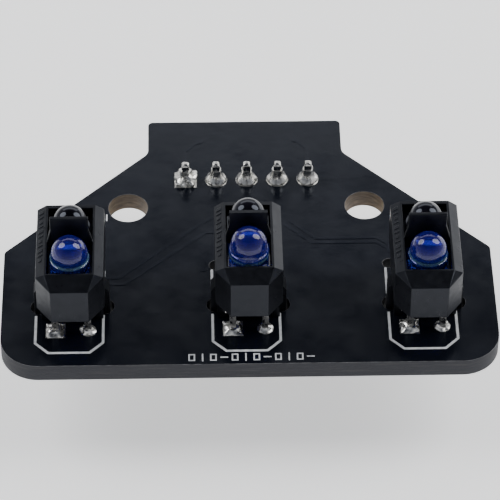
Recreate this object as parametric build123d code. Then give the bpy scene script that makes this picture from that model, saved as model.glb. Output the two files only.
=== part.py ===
from build123d import *
import math
import os

# Three-channel line-tracking sensor board: a small shaped circuit board with three reflective
# infrared sensors on its top face and a five-way shrouded connector with its circuit underneath.
# Millimetres. X runs along the row of sensors, Y away from the sensor edge, Z out of the sensor
# face. X = Y = 0 is midway between the two mounting holes and Z = 0 is the board's underside.

# Board
board_thickness = 1.6
board_half_width = 19.47
front_edge_y = -17.37
shoulder_y = -4.94
neck_y = 6.37
back_edge_y = 10.16
tab_half_width = 8.0
front_corner_radius = 3.0
shoulder_radius = 0.6
neck_radius = 1.0
tab_corner_radius = 0.4
mount_hole_radius = 1.6
mount_hole_x = 9.6
copper = 0.035
ink = 0.02

# Sensors, each about a centre on the board's top face
sensor_pitch = 13.84
sensor_x_offset = -0.06
sensor_y = -10.19
sides = {"left": -1, "centre": 0, "right": 1}
insert_lift = {"left": 0.05, "centre": 0.34, "right": 0.0}
lean_degrees = {"left": 0.0, "centre": -3.0, "right": 0.0}
lead_half_pitch = 1.27
lead_y = 3.47
lead_width = 0.5
lead_drill_radius = 0.45
lead_tip_z = -1.1
square_pad = 1.55
round_pad_radius = 0.65
slot_y = -0.83
slot_half_length = 3.28
slot_width = 1.7
locating_hole_radius = 0.5
locating_hole_x = -2.55
locating_hole_y = 3.55

# Sensor housing: bevelled at its front end and cut off square at its rear end
shell_front_y = -5.1
shell_rear_y = 3.95
shell_half_width = 2.62
shell_bottom_z = 2.7
end_face_top_z = 5.95
side_face_top_z = 6.03
shell_top_z = 6.52
end_face_half_width = 1.45
corner_length = 1.57
flat_front_y = -3.72
flat_half_width = 1.92
pocket_half_width = 1.74
pocket_mouth_y = 3.56
pocket_front_y = -4.12
pocket_rear_y = 3.81
pocket_ceiling_z = 6.1
fin_half_thickness = 0.16
fin_top_z = 9.0
fin_step_z = 7.75
fin_half_width = 1.48
cheek_half_length = 2.2
cheek_inner_x = 1.85
cheek_outer_x = 2.45
clip_half_width = 0.6
seat = 0.4

# Emitter and detector inserts
dome_y = 1.72
dome_z = 6.8
emitter_dome_radius = 1.42
detector_dome_radius = 1.34
flange_radius = 1.6
flange_drop = 0.35
insert_half_width = 1.62
insert_bottom_z = 3.2
insert_shoulder_z = 5.6
insert_inner_y = 0.25
insert_outer_y = 3.79
frame_z = 5.15
frame_thickness = 0.25
emitter_die_half = 0.17
detector_die_half = 0.36

# Connector, standing on the underside
pin_count = 5
pin_pitch = 2.5
connector_x = 0.085
connector_y = 3.15
pin_width = 0.64
pin_tip_above_board = 1.92
pin_drill_radius = 0.5
header_pad = 1.8
shroud_length = 14.9
shroud_near_wall = 2.35
shroud_far_wall = 3.4
shroud_depth = 7.0
shroud_wall = 0.8
shroud_floor = 2.2
shroud_standoff = 0.3

# Solder joints: radius at the board, radius at the lead, climb above the board and below it
lead_joint = (0.6, 0.4, 0.3, 0.65)
pin_joint = (0.8, 0.5, 0.95, 0.2)
fillet_hollow = 0.12

# Chip parts on the underside: length, width, height
chip_size = (1.6, 0.8, 0.45)
bulk_size = (3.2, 1.6, 1.25)
led_size = (1.6, 0.8, 0.3)
comparator_x = 6.8
comparator_y = -9.7
comparator_length = 8.65
comparator_width = 3.9
comparator_height = 1.45
comparator_span = 6.0
comparator_pitch = 1.27
comparator_leads_per_side = 7


def block(x0, x1, y0, y1, z0, z1):
    """A box between two corners."""
    size = Box(x1 - x0, y1 - y0, z1 - z0)
    return Pos((x0 + x1) / 2, (y0 + y1) / 2, (z0 + z1) / 2) * size


def rod(x, y, z0, z1, radius):
    """An upright cylinder."""
    return Pos(x, y, (z0 + z1) / 2) * Cylinder(radius, z1 - z0)


def mirrored(points):
    """A closed outline from its right half, listed front to back."""
    return points + [(-x, y) for x, y in reversed(points)]


def prism(points, plane, half_depth):
    """An outline drawn on a plane, extruded to both sides of it."""
    face = make_face(plane * Polyline(points, close=True))
    return extrude(face, half_depth, both=True)


def joined(solids):
    """All of the solids fused into one shape."""
    first, *rest = solids
    return first.fuse(*rest) if rest else first


def stroke(points, width, z0, z1):
    """A drawn line of constant width with round ends, as a thin solid."""
    pieces = [rod(x, y, z0, z1, width / 2) for x, y in points]
    for (ax, ay), (bx, by) in zip(points, points[1:]):
        turn = math.degrees(math.atan2(by - ay, bx - ax))
        bar = Rot(0, 0, turn) * Box(math.hypot(bx - ax, by - ay), width, z1 - z0)
        pieces.append(Pos((ax + bx) / 2, (ay + by) / 2, (z0 + z1) / 2) * bar)
    return joined(pieces)


def sensor_x(side):
    return sensor_x_offset + sides[side] * sensor_pitch


def at_sensor(side, shape):
    """Moves a shape from the sensor's own frame to its place on the board's top face."""
    return Pos(sensor_x(side), sensor_y, board_thickness) * shape


def lead_places(side):
    """Board positions of one sensor's four leads, emitter pair first."""
    x = sensor_x(side)
    return [(x + i * lead_half_pitch, sensor_y + j * lead_y) for j in (-1, 1) for i in (-1, 1)]


def pin_places():
    first = connector_x - pin_pitch * (pin_count - 1) / 2
    return [(first + i * pin_pitch, connector_y) for i in range(pin_count)]


def board():
    half = [
        (board_half_width, front_edge_y),
        (board_half_width, shoulder_y),
        (tab_half_width, neck_y),
        (tab_half_width, back_edge_y),
    ]
    face = make_face(Polyline(mirrored(half), close=True))
    radii = (front_corner_radius, shoulder_radius, neck_radius, tab_corner_radius)
    for (x, y), radius in zip(half, radii):
        corners = [v for v in face.vertices() if math.hypot(abs(v.X) - x, v.Y - y) < 1e-6]
        face = fillet(corners, radius)
    body = extrude(face, board_thickness)
    holes = [rod(x, 0, -1, 3, mount_hole_radius) for x in (-mount_hole_x, mount_hole_x)]
    holes += [rod(x, y, -1, 3, pin_drill_radius) for x, y in pin_places()]
    for side in sides:
        x = sensor_x(side)
        holes += [rod(px, py, -1, 3, lead_drill_radius) for px, py in lead_places(side)]
        holes.append(rod(x + locating_hole_x, sensor_y + locating_hole_y, -1, 3, locating_hole_radius))
        reach = slot_half_length - slot_width / 2
        y = sensor_y + slot_y
        holes.append(stroke([(x - reach, y), (x + reach, y)], slot_width, -1, 3))
    return body.cut(*holes)


def plated_hole(x, y, drill, half_land, square):
    """Copper rings on both faces joined by the barrel that lines the hole."""
    top, low = board_thickness + copper, -copper
    if square:
        lands = [block(x - half_land, x + half_land, y - half_land, y + half_land, z, z + copper)
                 for z in (low, board_thickness)]
    else:
        lands = [rod(x, y, z, z + copper, half_land) for z in (low, board_thickness)]
    barrel = rod(x, y, low, top, drill)
    return joined([barrel] + lands) - rod(x, y, low - 1, top + 1, drill - copper)


def sensor_plating():
    shapes = []
    for side in sides:
        for index, (x, y) in enumerate(lead_places(side)):
            square = index == 0
            half_land = square_pad / 2 if square else round_pad_radius
            shapes.append(plated_hole(x, y, lead_drill_radius, half_land, square))
    return shapes


def connector_plating():
    places = enumerate(pin_places())
    return [plated_hole(x, y, pin_drill_radius, header_pad / 2, i == 0) for i, (x, y) in places]


def solder(x, y, bore, foot, neck, rise_above, rise_below, lead_half):
    """Solder that fills a plated hole and climbs the lead on both faces, less the lead itself."""
    top, low = board_thickness + copper, -copper

    def sag(end, start):
        """A point between the two, pulled towards the lead, for a hollow fillet."""
        dx, dz = start[0] - end[0], start[1] - end[1]
        turn = 1 if dz > 0 else -1
        middle = ((end[0] + start[0]) / 2, (end[1] + start[1]) / 2)
        return (middle[0] - fillet_hollow * abs(dz), middle[1] - fillet_hollow * turn * abs(dx))

    toe, heel = (foot, low), (neck, low - rise_below)
    brim, crown = (foot, top), (neck, top + rise_above)
    lines = [
        Polyline((0, heel[1]), heel),
        ThreePointArc(heel, sag(toe, heel), toe),
        Polyline(toe, (bore, low), (bore, top), brim),
        ThreePointArc(brim, sag(brim, crown), crown),
        Polyline(crown, (0, crown[1]), (0, heel[1])),
    ]
    edges = [edge for line in lines for edge in (Plane.XZ * line).edges()]
    joint = Pos(x, y, 0) * revolve(make_face(edges), Axis.Z)
    lead = block(x - lead_half, x + lead_half, y - lead_half, y + lead_half, -20, 20)
    return joint - lead


def shell():
    """The sensor's outer block with its front, side and corner bevels."""
    corner_y = shell_front_y + corner_length
    half = [
        (end_face_half_width, shell_front_y),
        (shell_half_width, corner_y),
        (shell_half_width, shell_rear_y),
    ]
    face = make_face(Polyline(mirrored(half), close=True))
    body = Pos(0, 0, shell_bottom_z) * extrude(face, shell_top_z - shell_bottom_z)
    front = [(flat_front_y, shell_top_z), (-6, shell_top_z), (shell_front_y, end_face_top_z)]
    body -= prism(front, Plane.YZ, 5)
    for s in (-1, 1):
        side = [(s * flat_half_width, shell_top_z), (s * 4, shell_top_z),
                (s * shell_half_width, side_face_top_z)]
        body -= prism(side, Plane.XZ, 8)
        low = Vector(s * end_face_half_width, shell_front_y, end_face_top_z)
        high = Vector(s * flat_half_width, flat_front_y, shell_top_z)
        out = Vector(s * shell_half_width, corner_y, side_face_top_z)
        normal = (high - low).cross(out - low)
        normal = normal if normal.Z > 0 else normal * -1
        body = split(body, bisect_by=Plane(origin=low, z_dir=normal), keep=Keep.BOTTOM)
    return body


def clip(s):
    """One snap arm: down through the board's slot, with a barb that catches under the board."""
    outer, barb, inner = s * 2.95, s * 3.6, s * 2.25
    under = -board_thickness - 0.05
    points = [
        (inner, shell_bottom_z + seat), (s * shell_half_width, shell_bottom_z + seat),
        (s * shell_half_width, shell_bottom_z), (outer, shell_bottom_z - 0.5),
        (outer, under), (barb, under), (barb, under - 0.15), (s * 2.7, under - 0.75), (inner, under - 0.75),
    ]
    return Pos(0, slot_y, 0) * prism(points, Plane.XZ, clip_half_width)


def housing(lean):
    """The block with its two pockets and the fin between them, on upright cheeks and snap arms."""
    body = shell()
    for s, end in ((-1, pocket_front_y), (1, pocket_rear_y)):
        ys = sorted((s * fin_half_thickness, s * pocket_mouth_y))
        body -= block(-pocket_half_width, pocket_half_width, *ys, 0, 10)
        ys = sorted((s * fin_half_thickness, end))
        body -= block(-pocket_half_width, pocket_half_width, *ys, 0, pocket_ceiling_z)
    fin = [
        (fin_half_width, fin_top_z), (fin_half_width, fin_step_z),
        (pocket_half_width, shell_top_z + 0.2), (pocket_half_width, 1.2),
    ]
    web = prism(mirrored(fin), Plane.XZ, fin_half_thickness)
    upper = Rot(lean, 0, 0) * joined([body, web])
    cheeks = [block(*sorted((s * cheek_inner_x, s * cheek_outer_x)), -cheek_half_length,
                    cheek_half_length, 0, shell_bottom_z + seat) for s in (-1, 1)]
    foot = block(-cheek_inner_x, cheek_inner_x, -fin_half_thickness, fin_half_thickness, 1.2,
                 shell_bottom_z)
    return joined([upper, foot] + cheeks + [clip(-1), clip(1)])


def insert_body(s, lift, lean, radius):
    """Epoxy insert: a block in the housing's pocket, a flange and the domed lens above it."""
    ys = sorted((s * insert_inner_y, s * insert_outer_y))
    base = block(-insert_half_width, insert_half_width, *ys, insert_bottom_z, insert_shoulder_z)
    flange = rod(0, s * dome_y, insert_shoulder_z, dome_z - flange_drop, flange_radius)
    flange &= block(-2, 2, *ys, 0, 10)
    stem = rod(0, s * dome_y, insert_shoulder_z, dome_z, radius)
    ball = Pos(0, s * dome_y, dome_z) * Sphere(radius)
    cap = ball & block(-2, 2, s * dome_y - 2, s * dome_y + 2, dome_z, dome_z + 2)
    return Rot(lean, 0, 0) * Pos(0, 0, lift) * joined([base, flange, stem, cap])


def leadframe(s, lift):
    """The two leads of one insert: legs and, inside the epoxy, arms. The left carries the die."""
    level = frame_z + lift
    foot = lead_tip_z - board_thickness
    half = lead_width / 2
    legs = []
    for i in (-1, 1):
        x = i * lead_half_pitch
        ys = sorted((s * (lead_y + half), s * (lead_y - half)))
        leg = block(x - half, x + half, *ys, foot, level + frame_thickness)
        ys = sorted((s * lead_y, s * (dome_y - 0.4)))
        arm = block(x - half, x + half, *ys, level, level + frame_thickness)
        legs.append(joined([leg, arm]))
    pad = block(-lead_half_pitch, 0.5, s * dome_y - 0.4, s * dome_y + 0.4, level, level + frame_thickness)
    legs[0] = joined([legs[0], pad])
    return legs


def die(s, lift, half):
    base = frame_z + frame_thickness + lift
    return block(-half, half, s * dome_y - half, s * dome_y + half, base, base + 0.2)


def connector_pin(x, y):
    """A square post with tapered ends, from the socket up through the board."""
    low = -shroud_depth + 1.0
    top = board_thickness + pin_tip_above_board
    half = pin_width / 2
    post = block(x - half, x + half, y - half, y + half, low, top)
    stack = post.faces().sort_by(Axis.Z)
    return chamfer(stack[0].edges() + stack[-1].edges(), 0.14)


def connector_shroud():
    x0 = connector_x - shroud_length / 2
    x1 = connector_x + shroud_length / 2
    y0 = connector_y - shroud_near_wall
    y1 = connector_y + shroud_far_wall
    top, low = -shroud_standoff, -shroud_depth
    body = block(x0, x1, y0, y1, low, top)
    well = block(x0 + shroud_wall, x1 - shroud_wall, y0 + shroud_wall, y1 - shroud_wall, low - 1,
                 low + shroud_depth - shroud_standoff - shroud_floor)
    body -= well
    # keying slots in the long near wall and a window in each end wall
    for s in (-1, 1):
        middle = connector_x + s * pin_pitch * (pin_count - 1) / 2
        body -= block(middle - 0.6, middle + 0.6, y0 - 1, y0 + shroud_wall + 0.1, low - 1, low + 3.2)
    body -= block(x0 - 1, x1 + 1, connector_y + 0.6, connector_y + 2.2, low - 1, low + 2.4)
    feet = [block(x, x + 1.2, y0, y1, top, 0) for x in (x0, x1 - 1.2)]
    body = joined([body] + feet)
    for x, y in pin_places():
        half = pin_width / 2
        body -= block(x - half, x + half, y - half, y + half, low, 1)
    return body


def chip_places():
    """Every small two-terminal part underneath: node name, size, centre."""
    rows = [-14.4, -12.6, -10.8]
    parts = []
    for index, y in enumerate(rows):
        parts.append(("emitter_resistors", chip_size, -8.7, y))
        parts.append(("load_resistors", chip_size, -5.4, y))
    for side in sides:
        parts.append(("indicator_resistors", chip_size, sensor_x(side), -1.7))
        parts.append((side + "_indicator", led_size, sensor_x(side), -3.6))
    for y in (-1.7, -3.4):
        parts.append(("reference_resistors", chip_size, 4.0, y))
    parts.append(("decoupling_capacitor", (1.6, 0.8, 0.8), 6.8, -3.4))
    parts.append(("bulk_capacitor", bulk_size, -6.9, -4.6))
    return parts


def chip_body(size, x, y):
    """The part's core, between its two end caps."""
    length, width, height = size
    cap = length * 0.19
    top = -copper
    return block(x - length / 2 + cap, x + length / 2 - cap, y - width / 2, y + width / 2,
                 top - height, top)


def chip_caps(size, x, y):
    length, width, height = size
    cap = length * 0.19
    top = -copper
    ends = []
    for s in (-1, 1):
        xs = sorted((x + s * length / 2, x + s * (length / 2 - cap)))
        ends.append(block(*xs, y - width / 2, y + width / 2, top - height, top))
    return ends


def chip_fillets(size, x, y):
    """A wedge of solder against each end cap."""
    length, width, height = size
    top = -copper
    reach, rise = 0.35, height * 0.7
    shapes = []
    for s in (-1, 1):
        end = x + s * length / 2
        points = [(end, top), (end + s * reach, top), (end + s * reach * 0.25, top - rise * 0.45),
                  (end, top - rise)]
        shapes.append(Pos(0, y, 0) * prism(points, Plane.XZ, width / 2))
    return shapes


def chip_lands(size, x, y):
    length, width, _ = size
    shapes = []
    for s in (-1, 1):
        xs = sorted((x + s * (length / 2 - 0.4), x + s * (length / 2 + 0.45)))
        shapes.append(block(*xs, y - width / 2 - 0.08, y + width / 2 + 0.08, -copper, 0))
    return shapes


def indicator_lens(size, x, y):
    """Clear resin over the middle of an indicator's base."""
    length, width, height = size
    base = -copper - height
    half = length / 2 - length * 0.19
    lens = block(x - half, x + half, y - width / 2, y + width / 2, base - 0.3, base)
    return chamfer(lens.faces().sort_by(Axis.Z)[0].edges(), 0.08)


def comparator_rows():
    first = comparator_y - comparator_pitch * (comparator_leads_per_side - 1) / 2
    ys = [first + i * comparator_pitch for i in range(comparator_leads_per_side)]
    return [(s, y) for s in (-1, 1) for y in ys]


def comparator_body():
    low = -copper - 0.1 - comparator_height
    high = -copper - 0.1
    middle = (low + high) / 2
    wide, tall = comparator_width / 2, comparator_length / 2
    draft = 0.12
    points = [(wide, middle), (wide - draft, high), (draft - wide, high), (-wide, middle),
              (draft - wide, low), (wide - draft, low)]
    body = Pos(comparator_x, comparator_y, 0) * prism(points, Plane.XZ, tall)
    dimple = rod(comparator_x - 1.2, comparator_y + tall - 0.9, low - 1, low + 0.08, 0.4)
    return body - dimple


def comparator_lead(s, y):
    """A gull-wing lead: out of the body, down to the board and flat on its land."""
    thick = 0.2
    middle = -copper - 0.1 - comparator_height / 2
    x_body = comparator_x + s * comparator_width / 2
    x_knee = x_body + s * 0.35
    x_tip = comparator_x + s * comparator_span / 2
    x_heel = x_tip - s * 0.55
    foot = -copper
    points = [
        (x_body, middle - thick / 2), (x_knee, middle - thick / 2),
        (x_heel, foot - thick), (x_tip, foot - thick),
        (x_tip, foot), (x_heel - s * 0.08, foot),
        (x_knee - s * 0.14, middle + thick / 2), (x_body, middle + thick / 2),
    ]
    return Pos(0, y, 0) * prism(points, Plane.XZ, 0.2)


def comparator_fillet(s, y):
    x_tip = comparator_x + s * comparator_span / 2
    points = [(x_tip, -copper), (x_tip + s * 0.3, -copper), (x_tip + s * 0.07, -copper - 0.08),
              (x_tip, -copper - 0.18)]
    return Pos(0, y, 0) * prism(points, Plane.XZ, 0.2)


def comparator_land(s, y):
    x_tip = comparator_x + s * comparator_span / 2
    xs = sorted((x_tip - s * 0.75, x_tip + s * 0.4))
    return block(*xs, y - 0.3, y + 0.3, -copper, 0)


def save(name, shapes):
    """Writes one node: a single solid or a group of separate solids."""
    group = shapes if isinstance(shapes, list) else [shapes]
    solids = [solid for shape in group for solid in shape.solids()]
    node = solids[0] if len(solids) == 1 else Compound(children=solids)
    node.label = name
    export_step(node, f"parts/{name}.step")


def legend_top():
    """White print on the sensor face: an outline round each sensor, hole ticks and a date strip."""
    low, high = board_thickness, board_thickness + ink
    line = 0.2
    shapes = []
    for side in sides:
        x = sensor_x(side) - 0.2
        half, front, corner = 2.64, front_edge_y + 1.37, 1.04
        rear = sensor_y + 2.95
        left = [(x - half, rear), (x - half, front + corner)]
        ends = [(x - half + corner, front), (x + half - corner, front)]
        right = [(x + half, front + corner), (x + half, rear)]
        outline = stroke(left + ends + right, line, low, high)
        y = sensor_y + slot_y
        clear = slot_width / 2 + 0.15
        gap = block(x - 5, x + 5, y - clear, y + clear, low - 1, high + 1)
        shapes += list((outline - gap).solids())
    for x, y in ((-11.33, -1.45), (11.7, -1.7)):
        shapes.append(stroke([(x, y), (x, y + 0.65)], line * 0.6, low, high))
    return shapes + date_strip(low, high)


def date_strip(low, high):
    """A row of plain bars and boxes, the kind a board maker ticks off for the week of manufacture."""
    shapes = []
    pitch, width, height = 0.84, 0.52, 0.72
    centre_x, y = 0.05, front_edge_y + 0.7
    for index in range(12):
        x = centre_x + (index - 5.5) * pitch
        if index % 4 == 3:
            shapes.append(stroke([(x - width / 2, y), (x + width / 2, y)], 0.11, low, high))
        elif index % 2:
            shapes.append(stroke([(x, y - height / 2), (x, y + height / 2)], 0.11, low, high))
        else:
            frame = block(x - width / 2, x + width / 2, y - height / 2, y + height / 2, low, high)
            pen = 0.11
            inner = block(x - width / 2 + pen, x + width / 2 - pen, y - height / 2 + pen,
                          y + height / 2 - pen, low - 1, high + 1)
            shapes.append(frame - inner)
    return shapes


def ring_outline(x0, x1, y0, y1, line, low, high):
    """A rectangular frame drawn as a line."""
    outer = block(x0 - line / 2, x1 + line / 2, y0 - line / 2, y1 + line / 2, low, high)
    return outer - block(x0 + line / 2, x1 - line / 2, y0 + line / 2, y1 - line / 2, low - 1, high + 1)


def legend_bottom():
    """White print round the parts underneath."""
    low, high = -ink, 0
    line = 0.15
    shapes = []
    for _, size, x, y in chip_places():
        reach, half = size[0] / 2 + 0.62, size[1] / 2 + 0.26
        for s in (-1, 1):
            ends = [(x - reach + 0.2, y + s * half), (x + reach - 0.2, y + s * half)]
            shapes.append(stroke(ends, line, low, high))
    half = comparator_width / 2 - 0.2
    for end in (-1, 1):
        y = comparator_y + end * (comparator_length / 2 + 0.25)
        shapes.append(stroke([(comparator_x - half, y), (comparator_x + half, y)], line, low, high))
    shapes.append(rod(comparator_x - comparator_span / 2, comparator_y + comparator_length / 2 + 0.2,
                      low, high, 0.22))
    gap = 0.25
    x0 = connector_x - shroud_length / 2 - gap
    x1 = connector_x + shroud_length / 2 + gap
    y0 = connector_y - shroud_near_wall - gap
    y1 = connector_y + shroud_far_wall + gap
    shapes.append(ring_outline(x0, x1, y0, y1, line, low, high))
    shapes.append(stroke([(x0 + 0.9, y1 + 0.55), (x0 + 2.1, y1 + 0.55)], line, low, high))
    return shapes


def masked_ridge(points, face):
    """A track under the solder mask, which shows as a low ridge on that face of the board."""
    levels = (board_thickness, board_thickness + copper) if face > 0 else (-copper, 0)
    return stroke(points, 0.26, *levels)


def tracks_top():
    left = sensor_x("left") + 2.45
    right = sensor_x("right") - 3.4
    routes = [
        [(left, -7.95), (-10.3, -7.95), (-3.75, -1.95), (-1.6, -0.4), (-1.6, 1.4)],
        [(left, -8.65), (-9.85, -8.65), (-3.35, -2.95), (0.6, -2.95)],
        [(3.5, -1.7), (5.5, -3.75), (right, -3.75), (right + 1.2, -4.7)],
        [(2.9, -1.95), (5.2, -4.25), (right, -4.25), (right + 1.1, -5.2)],
        [(-5.0, 4.6), (-5.0, 6.6), (-3.8, 7.8)],
        [(5.1, 4.6), (5.1, 6.9), (4.2, 7.9)],
    ]
    lone_via = (-3.6, -7.05)
    levels = (board_thickness, board_thickness + copper)
    shapes = [rod(*lone_via, *levels, 0.33)]
    for route in routes:
        end = route[-1]
        shapes.append(joined([masked_ridge(route, 1), rod(*end, *levels, 0.33)]))
    return shapes


def tracks_bottom():
    """Short tracks that lead outwards from the comparator and the resistors to vias."""
    levels = (-copper, 0)
    shapes = []
    for index in (0, 4, 6):
        for s in (-1, 1):
            y = comparator_rows()[index][1]
            x = comparator_x + s * (comparator_span / 2 + 0.55)
            points = [(x, y), (x + s * 0.3, y), (x + s * 0.5, y + 0.35)]
            shapes.append(joined([masked_ridge(points, -1), rod(*points[-1], *levels, 0.27)]))
    for name, size, x, y in chip_places():
        if name in ("emitter_resistors", "load_resistors"):
            start = x - size[0] / 2 - 0.6
            points = [(start, y), (start - 0.1, y), (start - 0.3, y + 0.7)]
            shapes.append(joined([masked_ridge(points, -1), rod(*points[-1], *levels, 0.27)]))
    return shapes


def sensor(side):
    """Writes one complete reflective sensor: housing, both inserts with their insides, solder."""
    lift, lean = insert_lift[side], lean_degrees[side]
    save(f"{side}_sensor_housing", at_sensor(side, housing(lean)))
    inserts = (
        ("emitter", -1, emitter_dome_radius, emitter_die_half),
        ("detector", 1, detector_dome_radius, detector_die_half),
    )
    for name, s, radius, die_half in inserts:
        legs = leadframe(s, lift)
        chip = die(s, lift, die_half)
        body = insert_body(s, lift, lean, radius).cut(*legs).cut(chip)
        save(f"{side}_{name}", at_sensor(side, body))
        save(f"{side}_{name}_leads", [at_sensor(side, leg) for leg in legs])
        save(f"{side}_{name}_die", at_sensor(side, chip))
    bore = lead_drill_radius - copper
    joints = [solder(x, y, bore, *lead_joint, lead_width / 2) for x, y in lead_places(side)]
    save(f"{side}_sensor_solder", joints)


def connector():
    """Writes the five posts, their solder and the shroud."""
    for index, (x, y) in enumerate(pin_places()):
        save(f"connector_pin_{index + 1}", connector_pin(x, y))
    bore = pin_drill_radius - copper
    joints = [solder(x, y, bore, *pin_joint, pin_width / 2) for x, y in pin_places()]
    save("connector_solder", joints)
    save("connector_shroud", connector_shroud())


def chips():
    """Writes the comparator and every small two-terminal part."""
    save("comparator_body", comparator_body())
    save("comparator_leads", [comparator_lead(s, y) for s, y in comparator_rows()])
    save("comparator_solder", [comparator_fillet(s, y) for s, y in comparator_rows()])
    parts = chip_places()
    for name in sorted({part[0] for part in parts}):
        save(name, [chip_body(*part[1:]) for part in parts if part[0] == name])
    save("chip_end_caps", [cap for part in parts for cap in chip_caps(*part[1:])])
    save("chip_solder", [wedge for part in parts for wedge in chip_fillets(*part[1:])])
    lenses = [indicator_lens(*part[1:]) for part in parts if part[0].endswith("_indicator")]
    save("indicator_lenses", lenses)
    lands = [land for part in parts for land in chip_lands(*part[1:])]
    save("surface_lands", lands + [comparator_land(s, y) for s, y in comparator_rows()])


def main():
    os.makedirs("parts", exist_ok=True)
    save("board", board())
    save("top_legend", legend_top())
    save("bottom_legend", legend_bottom())
    save("top_tracks", tracks_top())
    save("bottom_tracks", tracks_bottom())
    save("sensor_plating", sensor_plating())
    save("connector_plating", connector_plating())
    for side in sides:
        sensor(side)
    connector()
    chips()


main()
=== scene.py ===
import math

import bmesh
import bpy
from mathutils import Matrix, Quaternion, Vector, noise


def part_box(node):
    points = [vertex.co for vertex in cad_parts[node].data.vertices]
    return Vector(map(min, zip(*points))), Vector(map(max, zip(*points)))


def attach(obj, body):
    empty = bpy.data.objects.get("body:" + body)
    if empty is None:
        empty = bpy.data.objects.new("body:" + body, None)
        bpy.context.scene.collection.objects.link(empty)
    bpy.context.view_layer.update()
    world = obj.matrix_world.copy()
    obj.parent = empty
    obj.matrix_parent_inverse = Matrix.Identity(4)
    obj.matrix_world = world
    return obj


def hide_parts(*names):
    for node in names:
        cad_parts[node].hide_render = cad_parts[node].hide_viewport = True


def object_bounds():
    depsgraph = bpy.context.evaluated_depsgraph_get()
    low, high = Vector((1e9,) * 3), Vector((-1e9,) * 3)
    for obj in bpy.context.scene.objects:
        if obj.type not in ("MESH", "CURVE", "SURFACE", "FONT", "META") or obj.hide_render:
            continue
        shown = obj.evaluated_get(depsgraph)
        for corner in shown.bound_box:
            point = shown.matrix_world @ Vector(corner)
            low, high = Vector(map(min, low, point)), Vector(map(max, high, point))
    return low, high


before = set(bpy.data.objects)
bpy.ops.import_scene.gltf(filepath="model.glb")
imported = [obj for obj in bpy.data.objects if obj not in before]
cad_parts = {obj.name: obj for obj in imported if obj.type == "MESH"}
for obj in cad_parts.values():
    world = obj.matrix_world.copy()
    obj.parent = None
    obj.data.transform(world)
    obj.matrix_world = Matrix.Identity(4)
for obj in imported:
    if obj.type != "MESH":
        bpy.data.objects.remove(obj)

cad_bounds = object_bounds()

MM = 0.001
SIDES = ("left", "centre", "right")
PIN_COUNT = 5
SHARP_ANGLE = math.radians(35)
FLAT_ANGLE = math.radians(0.8)
WELD_DISTANCE = 0.0005 * MM


# ---------------------------------------------------------------- places, all from the frame

board_low, board_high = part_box("board")
board_top = board_high.z
board_bottom = board_low.z


def middle(node):
    """The middle of a CAD node's box."""
    low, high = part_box(node)
    return (low + high) / 2


# ---------------------------------------------------------------- materials

def shader(name, colour, roughness, **sockets):
    """A Principled material. Extra sockets are given by name with _ for a space."""
    material = bpy.data.materials.new(name)
    material.use_nodes = True
    inputs = material.node_tree.nodes["Principled BSDF"].inputs
    inputs["Base Color"].default_value = (*colour, 1.0)
    inputs["Roughness"].default_value = roughness
    for socket, value in sockets.items():
        inputs[socket.replace("_", " ")].default_value = value
    return material


def principled(material):
    return material.node_tree.nodes["Principled BSDF"].inputs


def pattern(material, size, stretch=(1, 1, 1), detail=3.0, cells=False):
    """Noise, or cells, in object space. size is its grain in millimetres."""
    nodes, links = material.node_tree.nodes, material.node_tree.links
    place = nodes.new("ShaderNodeTexCoord")
    scale = nodes.new("ShaderNodeMapping")
    scale.inputs["Scale"].default_value = [s / (size * MM) for s in stretch]
    links.new(place.outputs["Object"], scale.inputs["Vector"])
    texture = nodes.new("ShaderNodeTexVoronoi" if cells else "ShaderNodeTexNoise")
    texture.inputs["Scale"].default_value = 1.0
    links.new(scale.outputs["Vector"], texture.inputs["Vector"])
    if cells:
        return texture.outputs["Distance"]
    texture.inputs["Detail"].default_value = detail
    return texture.outputs["Fac"]


def height_above(material, low, high):
    """0 at one height and 1 at the other, in object space."""
    nodes, links = material.node_tree.nodes, material.node_tree.links
    place = nodes.new("ShaderNodeTexCoord")
    split = nodes.new("ShaderNodeSeparateXYZ")
    links.new(place.outputs["Object"], split.inputs["Vector"])
    return spread(material, split.outputs["Z"], low, high, 0.0, 1.0)


def spread(material, source, low, high, start, end):
    """Maps a pattern's low..high to start..end."""
    node = material.node_tree.nodes.new("ShaderNodeMapRange")
    for socket, value in zip(("From Min", "From Max", "To Min", "To Max"), (low, high, start, end)):
        node.inputs[socket].default_value = value
    material.node_tree.links.new(source, node.inputs["Value"])
    return node.outputs["Result"]


def tint(material, source, *stops):
    """Colours the surface by a pattern. Each stop is (position, colour)."""
    ramp = material.node_tree.nodes.new("ShaderNodeValToRGB")
    elements = ramp.color_ramp.elements
    for element, (position, colour) in zip(elements, (stops[0], stops[-1])):
        element.position = position
        element.color = (*colour, 1.0)
    for position, colour in stops[1:-1]:
        elements.new(position).color = (*colour, 1.0)
    links = material.node_tree.links
    links.new(source, ramp.inputs["Fac"])
    links.new(ramp.outputs["Color"], principled(material)["Base Color"])


def gloss(material, source, low, high, start, end):
    """Roughness from start to end, as a pattern goes from low to high."""
    result = spread(material, source, low, high, start, end)
    material.node_tree.links.new(result, principled(material)["Roughness"])


def relief(material, source, depth, strength=1.0):
    """Bumps the surface by a pattern, depth in millimetres, on top of any earlier relief."""
    bump = material.node_tree.nodes.new("ShaderNodeBump")
    bump.inputs["Distance"].default_value = depth * MM
    bump.inputs["Strength"].default_value = strength
    links = material.node_tree.links
    links.new(source, bump.inputs["Height"])
    normal = principled(material)["Normal"]
    if normal.is_linked:
        links.new(normal.links[0].from_socket, bump.inputs["Normal"])
    links.new(bump.outputs["Normal"], normal)


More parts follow.
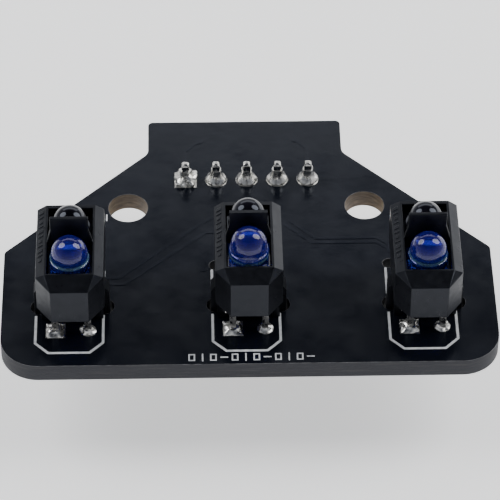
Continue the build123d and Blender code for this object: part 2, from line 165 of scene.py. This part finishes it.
def solder_mask(name="solder_mask", lift=1.0):
    """Near-black, slightly blue lacquer with a faint orange peel and handling smears."""
    dark = [c * lift for c in (0.0020, 0.0028, 0.0058)]
    pale = [c * lift for c in (0.0040, 0.0052, 0.0095)]
    m = shader(name, dark, 0.25, IOR=1.42, Specular_Tint=(0.78, 0.85, 1.0, 1.0))
    smear = pattern(m, 5.0, detail=5.0)
    tint(m, smear, (0.3, dark), (0.75, pale))
    gloss(m, pattern(m, 2.2, detail=6.0), 0.3, 0.7, 0.17, 0.27)
    relief(m, pattern(m, 0.9, detail=2.0), 0.006)
    relief(m, pattern(m, 0.12, detail=2.0), 0.0015)
    return m


def laminate_edge():
    """The routed edge of the board: layers of glass cloth, dark with mask overspill."""
    m = shader("laminate_edge", (0.05, 0.05, 0.055), 0.6, IOR=1.38, Specular_Tint=(0.85, 0.89, 1.0, 1.0))
    layers = pattern(m, 0.9, stretch=(0.35, 0.35, 5.0), detail=4.0)
    tint(m, layers, (0.3, (0.012, 0.012, 0.014)), (0.55, (0.027, 0.027, 0.030)),
         (0.75, (0.056, 0.054, 0.054)))
    gloss(m, layers, 0.3, 0.7, 0.45, 0.7)
    relief(m, pattern(m, 0.25, stretch=(1, 1, 3.0), detail=4.0), 0.03)
    return m


def painted_rim_highlight():
    """A thin arris paler than the laminate under it: a painted highlight along every rounded edge of the
    board.
    """
    m = shader("painted_rim_highlight", (0.14, 0.14, 0.145), 0.4)
    tint(m, pattern(m, 0.7, detail=4.0), (0.35, (0.05, 0.05, 0.055)), (0.65, (0.22, 0.22, 0.225)))
    return m


def drilled_wall():
    """The bare wall of a drilled hole: tan resin and glass, with tool rings."""
    m = shader("drilled_wall", (0.2, 0.12, 0.06), 0.55)
    fibres = pattern(m, 0.5, stretch=(0.6, 0.6, 3.0), detail=4.0)
    tint(m, fibres, (0.3, (0.06, 0.040, 0.024)), (0.7, (0.19, 0.135, 0.082)))
    relief(m, pattern(m, 0.12, stretch=(0.2, 0.2, 2.0)), 0.02)
    return m


def legend_ink():
    m = shader("legend_ink", (0.72, 0.74, 0.76), 0.55)
    patchy = pattern(m, 0.35, detail=4.0)
    tint(m, patchy, (0.3, (0.58, 0.60, 0.62)), (0.6, (0.80, 0.81, 0.82)))
    relief(m, pattern(m, 0.08), 0.01)
    return m


def bare_metal(name, colour, roughness, grain, depth):
    m = shader(name, colour, roughness, Metallic=1.0)
    cloud = pattern(m, grain, detail=4.0)
    darker = [c * 0.78 for c in colour]
    tint(m, cloud, (0.3, darker), (0.65, colour))
    gloss(m, cloud, 0.3, 0.7, roughness * 0.7, min(roughness * 1.5, 1.0))
    relief(m, pattern(m, grain * 0.5), depth)
    return m


def housing_plastic():
    """Matt black moulding with a fine sparked texture and a cool sheen."""
    m = shader("housing_plastic", (0.004, 0.004, 0.005), 0.35, IOR=1.34,
               Specular_Tint=(0.76, 0.83, 1.0, 1.0))
    tint(m, pattern(m, 1.6, detail=5.0), (0.3, (0.0028, 0.0030, 0.0040)),
         (0.7, (0.0055, 0.0058, 0.0075)))
    gloss(m, pattern(m, 0.5, detail=4.0), 0.3, 0.7, 0.27, 0.40)
    relief(m, pattern(m, 0.11, detail=2.0), 0.006)
    relief(m, pattern(m, 1.3, detail=1.0), 0.02)
    return m


def blue_epoxy(base_height, dome_height):
    """Clear blue resin, with painted shade over the flange and a painted cyan glint in a band at the dome's
    foot. Heights are in metres.
    """
    m = shader("blue_epoxy", (0.01, 0.03, 0.55), 0.06, IOR=1.48, Transmission_Weight=0.8)
    rise_with_painted_light = height_above(m, base_height, dome_height)
    # Painted shade: dark navy over the flange and base, low in the pocket. Painted glint: the pale cyan band
    # just above the flange top. Above that is the resin's own blue, a little darker and more violet over the
    # crown.
    tint(m, rise_with_painted_light, (0.0, (0.01, 0.03, 0.25)), (0.2, (0.02, 0.04, 0.40)), (0.26, (0.40, 0.80, 1.0)),
         (0.34, (0.03, 0.05, 0.60)), (0.6, (0.035, 0.025, 0.55)), (1.0, (0.035, 0.018, 0.45)))
    relief(m, pattern(m, 0.8, detail=1.0), 0.004)
    return m


def dark_epoxy():
    """Black resin that passes infrared, polished like the blue one."""
    m = shader("dark_epoxy", (0.003, 0.003, 0.005), 0.09, IOR=1.4, Specular_Tint=(0.76, 0.83, 1.0, 1.0))
    tint(m, pattern(m, 1.2), (0.3, (0.002, 0.002, 0.003)), (0.7, (0.006, 0.005, 0.009)))
    relief(m, pattern(m, 0.8, detail=1.0), 0.004)
    return m


def die_silicon():
    m = shader("die_silicon", (0.10, 0.10, 0.12), 0.15, Metallic=0.4)
    tint(m, pattern(m, 0.1, cells=True), (0.1, (0.05, 0.05, 0.07)), (0.6, (0.20, 0.17, 0.10)))
    return m


def nylon():
    """Natural ivory nylon: a soft, slightly translucent moulding."""
    m = shader("nylon", (0.72, 0.68, 0.56), 0.42, Subsurface_Weight=0.25, Subsurface_Scale=0.0008)
    tint(m, pattern(m, 3.0, detail=4.0), (0.3, (0.68, 0.64, 0.52)), (0.7, (0.77, 0.735, 0.62)))
    gloss(m, pattern(m, 0.8), 0.3, 0.7, 0.34, 0.5)
    relief(m, pattern(m, 0.2), 0.006)
    return m


def chip_moulding():
    m = shader("chip_moulding", (0.018, 0.018, 0.019), 0.6)
    tint(m, pattern(m, 0.4, detail=4.0), (0.3, (0.013, 0.013, 0.014)), (0.7, (0.026, 0.026, 0.027)))
    relief(m, pattern(m, 0.06), 0.006)
    return m


def resistor_glaze():
    m = shader("resistor_glaze", (0.010, 0.010, 0.011), 0.22)
    gloss(m, pattern(m, 0.2), 0.3, 0.7, 0.15, 0.32)
    relief(m, pattern(m, 0.3), 0.008)
    return m


def ceramic(name, dark, pale):
    m = shader(name, pale, 0.55)
    tint(m, pattern(m, 0.18, detail=4.0), (0.3, dark), (0.7, pale))
    relief(m, pattern(m, 0.08), 0.005)
    return m


def clear_resin():
    m = shader("clear_resin", (0.92, 0.95, 0.90), 0.06, IOR=1.5, Transmission_Weight=0.8)
    relief(m, pattern(m, 0.4), 0.004)
    return m


def paper_floor():
    m = shader("paper_floor", (0.9, 0.9, 0.9), 0.9, Emission_Color=(1, 1, 1, 1), Emission_Strength=0.75)
    relief(m, pattern(m, 1.5), 0.01)
    return m


# ---------------------------------------------------------------- pieces

def piece(name, bm, materials, slot, *nodes, sharp_above=SHARP_ANGLE):
    """Makes a mesh piece that rides on the board and stands for these CAD nodes."""
    mesh = bpy.data.meshes.new(name)
    bm.normal_update()
    bm.to_mesh(mesh)
    bm.free()
    for material in materials:
        mesh.materials.append(material)
    mesh.shade_smooth()
    mesh.set_sharp_from_angle(angle=sharp_above)
    obj = bpy.data.objects.new(name, mesh)
    bpy.context.scene.collection.objects.link(obj)
    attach(obj, "root")
    if nodes:
        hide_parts(*nodes)
    return obj


def welded(node):
    """A CAD node's solids as one mesh, with each flat face whole."""
    bm = bmesh.new()
    bm.from_mesh(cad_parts[node].data)
    bmesh.ops.remove_doubles(bm, verts=bm.verts, dist=WELD_DISTANCE)
    bmesh.ops.dissolve_limit(bm, angle_limit=FLAT_ANGLE, verts=bm.verts, edges=bm.edges)
    for face in bm.faces:
        face.material_index = 0
    return bm


def soften(node, width, materials, slot, paint=None, segments=2):
    """Replaces a CAD node by itself with its edges rounded by width millimetres."""
    bm = welded(node)
    bm.normal_update()
    if paint:
        for face in bm.faces:
            face.material_index = paint(face)
    obj = piece(node + "_finished", bm, materials, slot, node)
    bevel = obj.modifiers.new("rounded_edges", "BEVEL")
    bevel.width = width * MM
    bevel.segments = segments
    bevel.limit_method = "ANGLE"
    bevel.angle_limit = SHARP_ANGLE
    bevel.harden_normals = True
    return obj


# Noise on turned shapes: its grain, the least radius it is scaled to, and the share that lifts
LUMPS_PER_MM = 2.3
LEAST_RADIUS = 0.2
LIFT_SHARE = 0.6


def lathe(bm, centre, profile, turns=48, square=0.0, wobble=0.0, seed=0.0, unit=MM):
    """Turns a profile of (radius, height) in millimetres about an upright axis.

    square, from 0 to 1, pulls the widest rings towards a square. wobble is how far noise moves the
    surface, in millimetres, and seed picks the noise. unit is the mesh's length for a millimetre."""
    widest = max(r for r, _ in profile)
    rings = []
    for r, z in profile:
        ring = []
        for k in range(turns):
            a = 2 * math.pi * k / turns
            corner = 1 / max(abs(math.cos(a)), abs(math.sin(a)))
            reach = r * (1 + square * (corner - 1) * (r / widest) ** 3)
            x, y = reach * math.cos(a), reach * math.sin(a)
            shift = wobble * noise.noise(Vector((x, y, z)) * LUMPS_PER_MM + Vector((seed, 0, 0)))
            pull = 1 + shift / max(r, LEAST_RADIUS)
            ring.append(bm.verts.new(centre + Vector((x * pull, y * pull, z + shift * LIFT_SHARE)) * unit))
        rings.append(ring)
    for lower, upper in zip(rings, rings[1:]):
        for k in range(turns):
            n = (k + 1) % turns
            bm.faces.new((lower[k], lower[n], upper[n], upper[k]))
    bm.faces.new(list(reversed(rings[0])))
    bm.faces.new(rings[-1])


def arc(radius, start, end, steps):
    """Points (radius, height) on a quarter or part circle about the origin, degrees from level."""
    angles = [math.radians(start + (end - start) * i / steps) for i in range(steps + 1)]
    return [(radius * math.cos(a), radius * math.sin(a)) for a in angles]


def slab(bm, low, high):
    """A box between two corners, added to a mesh."""
    grown = bmesh.ops.create_cube(bm, size=1.0)["verts"]
    for vert in grown:
        vert.co = Vector([(a + b) / 2 + c * (b - a) for a, b, c in zip(low, high, vert.co)])
    return grown


# ---------------------------------------------------------------- the board

mask = solder_mask()
masked_track = solder_mask("masked_track", 1.25)
ink = legend_ink()
MASKED, ROUTED, DRILLED, RIM_HIGHLIGHT = range(4)
HOLE_REACH_Y = 2 * MM
HOLE_REACH_X = board_high.x * 0.6


def board_paint(face):
    """Mask on both faces, bare laminate on the outline, drilled walls in the holes."""
    if abs(face.normal.z) > 0.9:
        return MASKED
    spot = face.calc_center_median()
    if abs(spot.y) < HOLE_REACH_Y and abs(spot.x) < HOLE_REACH_X:
        return DRILLED
    return ROUTED


def make_board():
    materials = [mask, laminate_edge(), drilled_wall(), painted_rim_highlight()]
    board = soften("board", 0.06, materials, "board_laminate", board_paint)
    # The rounded edges take the pale rim material, a painted highlight.
    board.modifiers["rounded_edges"].material = RIM_HIGHLIGHT
    for node in ("top_tracks", "bottom_tracks"):
        soften(node, 0.03, [masked_track], "masked_copper")
    for node in ("top_legend", "bottom_legend"):
        paint_node(node, ink)


def paint_node(node, material):
    """Gives a CAD node that keeps its own shape a better material."""
    for material_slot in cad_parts[node].material_slots:
        material_slot.material = material


# ---------------------------------------------------------------- metal

tinned = bare_metal("tinned_land", (0.66, 0.65, 0.62), 0.3, 0.4, 0.01)
lead_tin = bare_metal("lead_tin", (0.62, 0.61, 0.59), 0.26, 0.25, 0.006)
post_tin = bare_metal("post_tin", (0.70, 0.69, 0.66), 0.2, 0.3, 0.005)
solder = bare_metal("solder", (0.84, 0.83, 0.79), 0.27, 0.5, 0.012)
silicon = die_silicon()

LEAD_HALF_PITCH = 1.27
LEAD_Y = 3.47
LAND_THICKNESS = 0.035
SQUARE_LAND_GROWTH = 1.22
SOLDER_SHARP = math.radians(60)

# Solder profiles: (radius, height) from the land's face
LEAD_SKIRT = [(0.6, 0.0), (0.57, 0.07), (0.46, 0.15), (0.4, 0.3), (0.34, 0.36)]
LEAD_CONE = [(0.34, -0.78), (0.38, -0.62), (0.44, -0.38), (0.54, -0.16), (0.6, -0.03), (0.6, 0.0)]
PIN_CONE = [(0.86, 0.0), (0.87, 0.08), (0.80, 0.24), (0.66, 0.38), (0.52, 0.56), (0.45, 0.85), (0.42, 1.2)]
PIN_SKIRT = [(0.5, -0.2), (0.66, -0.12), (0.8, -0.03), (0.8, 0.0)]


def sensor_middle(side):
    """Centre of a sensor, midway between its leads, on the board's top face."""
    spot = middle(f"{side}_sensor_solder")
    return Vector((spot.x, spot.y, board_top))


def above_board(place):
    """The point over a place, on the face of the land there."""
    return Vector((place.x, place.y, board_top + LAND_THICKNESS * MM))


def below_board(place):
    return Vector((place.x, place.y, board_bottom - LAND_THICKNESS * MM))


def make_lead_solder(side):
    """Four joints: a thin skirt on the sensor face and a fuller cone underneath."""
    bm = bmesh.new()
    for j, row in enumerate((-1, 1)):
        for i, column in enumerate((-1, 1)):
            place = sensor_middle(side) + Vector((column * LEAD_HALF_PITCH, row * LEAD_Y, 0)) * MM
            square = 1.0 if (i, j) == (0, 0) else 0.0
            growth = SQUARE_LAND_GROWTH if square else 1.0
            seed = 7.0 * i + 13.0 * j + 31.0 * SIDES.index(side)
            skirt = [(r * growth, z) for r, z in LEAD_SKIRT]
            cone = [(r * growth, z) for r, z in LEAD_CONE]
            lathe(bm, above_board(place), skirt, 40, square, 0.16, seed)
            lathe(bm, below_board(place), cone, 40, square, 0.08, seed + 3)
    piece(f"{side}_solder_joints", bm, [solder], "solder", f"{side}_sensor_solder", sharp_above=SOLDER_SHARP)


def make_connector_solder():
    """Five joints: a tall cone on the sensor face and a thin skirt underneath. The first is square."""
    bm = bmesh.new()
    for index in range(PIN_COUNT):
        place = middle(f"connector_pin_{index + 1}")
        square, wobble = (0.9, 0.3) if index == 0 else (0.0, 0.07)
        lathe(bm, above_board(place), PIN_CONE, 48, square, wobble, 5.0 * index)
        square = 1.0 if index == 0 else 0.0
        lathe(bm, below_board(place), PIN_SKIRT, 40, square, 0.04, 5.0 * index + 2)
    piece("connector_joints", bm, [solder], "solder", "connector_solder", sharp_above=SOLDER_SHARP)


def make_metal():
    for node in ("sensor_plating", "connector_plating", "surface_lands"):
        paint_node(node, tinned)
    for side in SIDES:
        make_lead_solder(side)
        for kind in ("emitter", "detector"):
            soften(f"{side}_{kind}_leads", 0.05, [lead_tin], "lead_metal")
            paint_node(f"{side}_{kind}_die", silicon)
    for index in range(PIN_COUNT):
        soften(f"connector_pin_{index + 1}", 0.15, [post_tin], "pin_metal", segments=3)
    make_connector_solder()


# ---------------------------------------------------------------- sensors, in millimetres from their middles

plastic = housing_plastic()

LEAN = {"left": 0.0, "centre": math.radians(-3.0), "right": 0.0}
INSERT_LIFT = {"left": 0.05, "centre": 0.34, "right": 0.0}
DOME_Y = 1.72
DOME_Z = 6.8
DOME_RADIUS = {"emitter": 1.42, "detector": 1.34}
FLANGE_RADIUS = 1.56
BASE_HALF_WIDTH = 1.62
BASE_OUTER = 3.79
WALL_GAP = 0.25
# Heights from the dome's centre
FLANGE_TOP = -0.4
SHOULDER = -1.2
BASE_LOW = -3.6

# The bevel that carries the marks, and the half lengths and half widths that the bars repeat
BEVEL_OUTER = Vector((-2.62, 0, 6.03))
BEVEL_INNER = Vector((-1.92, 0, 6.52))
BAR_COUNT = 11
BAR_PITCH = 0.52
BAR_FIRST_Y = 3.3
BAR_HALF_LENGTHS = (0.17, 0.10, 0.17, 0.06)
BAR_HALF_WIDTHS = (0.24, 0.24, 0.15, 0.24)
BAR_RISE = 0.05


def seated(bm, side, lift=0.0):
    """Moves a mesh in millimetres from a sensor's own frame to the board, leaning as the sensor does."""
    turn = Matrix.Rotation(LEAN[side], 4, "X") @ Matrix.Translation((0, 0, lift))
    scale = Matrix.Scale(MM, 4)
    bm.transform(Matrix.Translation(sensor_middle(side)) @ scale @ turn)


def make_insert(side, kind, material, slot):
    """A cast insert: a rounded flange and smooth dome, and the mesh of its square base."""
    row = -1 if kind == "emitter" else 1
    radius = DOME_RADIUS[kind]
    # Up the flange, over its rounded rim, in to the dome's foot and over the dome
    profile = [(FLANGE_RADIUS, SHOULDER - 0.2), (FLANGE_RADIUS, FLANGE_TOP - 0.12),
               (FLANGE_RADIUS - 0.04, FLANGE_TOP - 0.03), (FLANGE_RADIUS - 0.1, FLANGE_TOP),
               (radius + 0.03, FLANGE_TOP + 0.02), (radius, FLANGE_TOP + 0.08)]
    profile += arc(radius, 0, 88, 22)
    bm = bmesh.new()
    centre = Vector((0, row * DOME_Y, DOME_Z))
    lathe(bm, centre, profile, 72, unit=1.0)
    for vert in bm.verts:
        if vert.co.y * row < WALL_GAP:
            vert.co.y = row * WALL_GAP
    seated(bm, side, INSERT_LIFT[side])
    node = f"{side}_{kind}"
    dome = piece(f"{node}_lens", bm, [material], slot, node)
    base = bmesh.new()
    near, far = sorted((row * WALL_GAP, row * BASE_OUTER))
    slab(base, (-BASE_HALF_WIDTH, near, DOME_Z + BASE_LOW), (BASE_HALF_WIDTH, far, DOME_Z + SHOULDER))
    seated(base, side, INSERT_LIFT[side])
    return dome, base


def join_base(dome, base):
    """Fuses the square base to the dome, so that the resin is one closed body."""
    mesh = bpy.data.meshes.new("base")
    base.to_mesh(mesh)
    base.free()
    block = bpy.data.objects.new("base", mesh)
    bpy.context.scene.collection.objects.link(block)
    union = dome.modifiers.new("base", "BOOLEAN")
    union.operation = "UNION"
    union.solver = "EXACT"
    union.object = block
    graph = bpy.context.evaluated_depsgraph_get()
    fused = bpy.data.meshes.new_from_object(dome.evaluated_get(graph))
    dome.modifiers.clear()
    dome.data = fused
    fused.shade_smooth()
    fused.set_sharp_from_angle(angle=SHARP_ANGLE)
    bpy.data.objects.remove(block)


def make_marks(side):
    """Plain raised bars along the left bevel of a housing, in place of moulded characters."""
    across = (BEVEL_INNER - BEVEL_OUTER).normalized()
    out = Vector((-across.z, 0, across.x))
    centre_line = (BEVEL_OUTER + BEVEL_INNER) / 2
    bm = bmesh.new()
    for index in range(BAR_COUNT):
        y = BAR_FIRST_Y - index * BAR_PITCH
        length = BAR_HALF_LENGTHS[index % len(BAR_HALF_LENGTHS)]
        width = BAR_HALF_WIDTHS[index % len(BAR_HALF_WIDTHS)]
        corners = slab(bm, (-width, -length, -BAR_RISE), (width, length, BAR_RISE))
        for vert in corners:
            x, along, z = vert.co
            vert.co = centre_line + across * x + out * z + Vector((0, y + along, 0))
    seated(bm, side)
    bars = piece(f"{side}_moulded_bars", bm, [plastic], "housing_plastic")
    bevel = bars.modifiers.new("rounded_edges", "BEVEL")
    bevel.width = 0.035 * MM
    bevel.segments = 2


dome_height = board_top + DOME_Z * MM
blue = blue_epoxy(dome_height - 0.9 * MM, dome_height + 1.4 * MM)
dark = dark_epoxy()


def make_sensor(side):
    soften(f"{side}_sensor_housing", 0.07, [plastic], "housing_plastic", segments=3)
    make_marks(side)
    for kind, material, slot in (("emitter", blue, "blue_epoxy"), ("detector", dark, "dark_epoxy")):
        join_base(*make_insert(side, kind, material, slot))


# ---------------------------------------------------------------- underneath

def chip_paint(face):
    """The glazed top of a chip part, and its ceramic sides."""
    return 0 if face.normal.z < -0.9 else 1


def make_underside():
    soften("connector_shroud", 0.12, [nylon()], "shroud_nylon", segments=3)
    soften("comparator_body", 0.05, [chip_moulding()], "chip_epoxy")
    soften("comparator_leads", 0.03, [lead_tin], "lead_metal")
    white = ceramic("alumina", (0.62, 0.61, 0.58), (0.78, 0.77, 0.74))
    tan = ceramic("capacitor_ceramic", (0.30, 0.20, 0.115), (0.40, 0.29, 0.17))
    glaze = resistor_glaze()
    for group in ("emitter", "load", "reference", "indicator"):
        soften(f"{group}_resistors", 0.03, [glaze, white], "resistor_glaze", chip_paint)
    for node in ("decoupling_capacitor", "bulk_capacitor"):
        soften(node, 0.05, [tan], "capacitor_ceramic")
    for side in SIDES:
        soften(f"{side}_indicator", 0.03, [white], "indicator_base")
    soften("indicator_lenses", 0.05, [clear_resin()], "clear_resin")
    soften("chip_end_caps", 0.07, [tinned], "solder")
    for node in ("chip_solder", "comparator_solder"):
        soften(node, 0.04, [solder], "solder")


# ---------------------------------------------------------------- studio, in metres

FLOOR_REACH = 1.5
LIGHTS_AIM = Vector((0, -0.005, 0.004))


def make_floor():
    """A pale sheet under the connector, which is the lowest part of the board."""
    bm = bmesh.new()
    corners = [(-FLOOR_REACH, -FLOOR_REACH), (FLOOR_REACH, -FLOOR_REACH), (FLOOR_REACH, FLOOR_REACH),
               (-FLOOR_REACH, FLOOR_REACH)]
    bm.faces.new([bm.verts.new((x, y, cad_bounds[0].z)) for x, y in corners])
    mesh = bpy.data.meshes.new("floor")
    bm.to_mesh(mesh)
    bm.free()
    mesh.materials.append(paper_floor())
    floor = bpy.data.objects.new("floor", mesh)
    bpy.context.scene.collection.objects.link(floor)


def softbox(name, place, width, height, watts, shape="ELLIPSE"):
    """An area light that faces the board."""
    light = bpy.data.lights.new(name, "AREA")
    light.shape = shape
    light.size, light.size_y = width, height
    light.energy = watts
    obj = bpy.data.objects.new(name, light)
    bpy.context.scene.collection.objects.link(obj)
    obj.location = place
    obj.rotation_euler = (LIGHTS_AIM - Vector(place)).to_track_quat("-Z", "Y").to_euler()


def make_lights():
    softbox("left_softbox", (-0.39, 0.14, 0.43), 0.34, 0.40, 2.0)
    softbox("right_softbox", (0.40, 0.14, 0.43), 0.34, 0.46, 2.4)
    softbox("low_right_card", (0.34, 0.35, 0.055), 0.36, 0.12, 0.3, "RECTANGLE")
    softbox("back_card", (0.0, 0.42, 0.27), 0.6, 0.16, 0.55, "RECTANGLE")
    make_sky()


def make_sky():
    """A plain gradient: white at the horizon, grey a little above it and dark overhead."""
    world = bpy.data.worlds.new("studio")
    bpy.context.scene.world = world
    world.use_nodes = True
    nodes, links = world.node_tree.nodes, world.node_tree.links
    direction = nodes.new("ShaderNodeTexCoord")
    split = nodes.new("ShaderNodeSeparateXYZ")
    ramp = nodes.new("ShaderNodeValToRGB")
    links.new(direction.outputs["Generated"], split.inputs["Vector"])
    links.new(split.outputs["Z"], ramp.inputs["Fac"])
    links.new(ramp.outputs["Color"], nodes["Background"].inputs["Color"])
    stops = ramp.color_ramp.elements
    stops[0].position, stops[0].color = 0.0, (1.0, 1.0, 1.0, 1.0)
    stops[1].position, stops[1].color = 0.8, (0.05, 0.055, 0.07, 1.0)
    stops.new(0.3).color = (0.42, 0.44, 0.49, 1.0)
    nodes["Background"].inputs["Strength"].default_value = 1.0


def make_camera():
    """Looks down on the sensor face from in front of the sensor edge."""
    elevation, yaw, roll = 0.7885, -0.0252, 0.0055
    distance = 247.94 * MM
    target = Vector((0.193, -4.988, 1.6)) * MM
    back = Vector((math.sin(yaw) * math.cos(elevation), -math.cos(yaw) * math.cos(elevation),
                   math.sin(elevation)))
    camera = bpy.data.cameras.new("camera")
    camera.sensor_width = 36.0
    camera.lens = 222.7
    camera.clip_start = 0.01
    obj = bpy.data.objects.new("camera", camera)
    bpy.context.scene.collection.objects.link(obj)
    obj.location = target + back * distance
    obj.rotation_mode = "QUATERNION"
    obj.rotation_quaternion = Quaternion(back, roll) @ (-back).to_track_quat("-Z", "Y")
    bpy.context.scene.camera = obj


make_board()
make_metal()
for side in SIDES:
    make_sensor(side)
make_underside()
make_floor()
make_lights()
make_camera()
